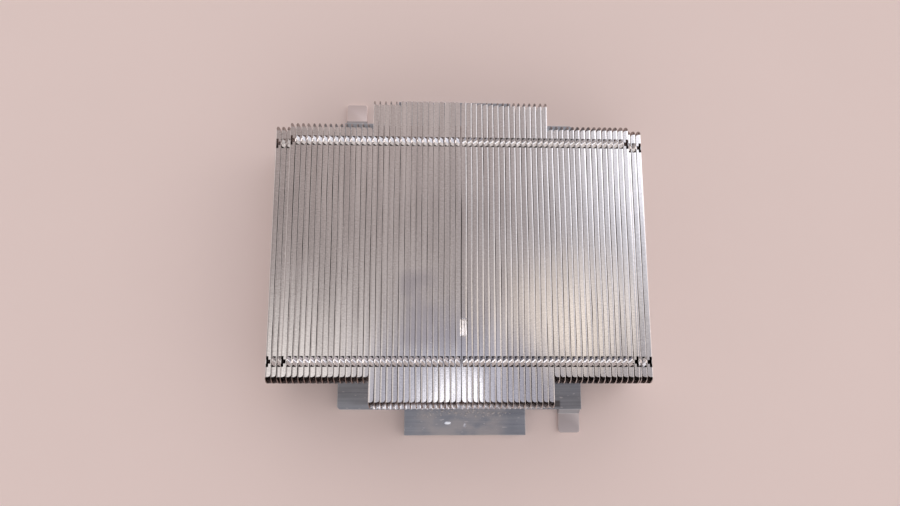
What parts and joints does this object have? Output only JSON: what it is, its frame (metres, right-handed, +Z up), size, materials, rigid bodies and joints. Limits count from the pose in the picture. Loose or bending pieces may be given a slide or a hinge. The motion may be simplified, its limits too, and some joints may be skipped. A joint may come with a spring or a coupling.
{
  "type": "passive server cpu heatsink",
  "caption": "Low passive heatsink for a rack server processor: an aluminium base plate with clamp flanges and locating ears carries two mirrored stacks of folded, interlocked fins.",
  "frame": {"origin": "on the underside of the base plate, half-way between the ends of the two clamp flanges, at the seam where the left and right fin stacks meet", "axes": "+Z up from the contact face through the fins, +Y along the air channels from the front flange to the rear flange, +X across the fins"},
  "size_m": [0.1138, 0.1116, 0.0265],
  "materials": {
    "fin_aluminium": "bare satin sheet with fine rolling lines along the fins",
    "base_aluminium": "milled and brushed, with lighter ears"
  },
  "bodies": {
    "root": {"base_plate": "base_aluminium", "left_centre_fin_01": "fin_aluminium", "left_centre_fin_02": "fin_aluminium", "left_centre_fin_03": "fin_aluminium", "left_centre_fin_04": "fin_aluminium", "left_centre_fin_05": "fin_aluminium", "left_centre_fin_06": "fin_aluminium", "left_centre_fin_07": "fin_aluminium", "left_centre_fin_08": "fin_aluminium", "left_centre_fin_09": "fin_aluminium", "left_centre_fin_10": "fin_aluminium", "left_centre_fin_11": "fin_aluminium", "left_centre_fin_12": "fin_aluminium", "left_centre_fin_13": "fin_aluminium", "left_centre_fin_14": "fin_aluminium", "left_centre_fin_15": "fin_aluminium", "left_centre_fin_16": "fin_aluminium", "left_side_fins_1": "fin_aluminium", "left_side_fins_2": "fin_aluminium", "left_side_fins_3": "fin_aluminium", "left_side_fins_4": "fin_aluminium", "left_side_fins_5": "fin_aluminium", "left_outer_fins": "fin_aluminium", "right_centre_fin_01": "fin_aluminium", "right_centre_fin_02": "fin_aluminium", "right_centre_fin_03": "fin_aluminium", "right_centre_fin_04": "fin_aluminium", "right_centre_fin_05": "fin_aluminium", "right_centre_fin_06": "fin_aluminium", "right_centre_fin_07": "fin_aluminium", "right_centre_fin_08": "fin_aluminium", "right_centre_fin_09": "fin_aluminium", "right_centre_fin_10": "fin_aluminium", "right_centre_fin_11": "fin_aluminium", "right_centre_fin_12": "fin_aluminium", "right_centre_fin_13": "fin_aluminium", "right_centre_fin_14": "fin_aluminium", "right_centre_fin_15": "fin_aluminium", "right_centre_fin_16": "fin_aluminium", "right_side_fins_1": "fin_aluminium", "right_side_fins_2": "fin_aluminium", "right_side_fins_3": "fin_aluminium", "right_side_fins_4": "fin_aluminium", "right_side_fins_5": "fin_aluminium", "right_outer_fins": "fin_aluminium"}
  },
  "joints": []
}
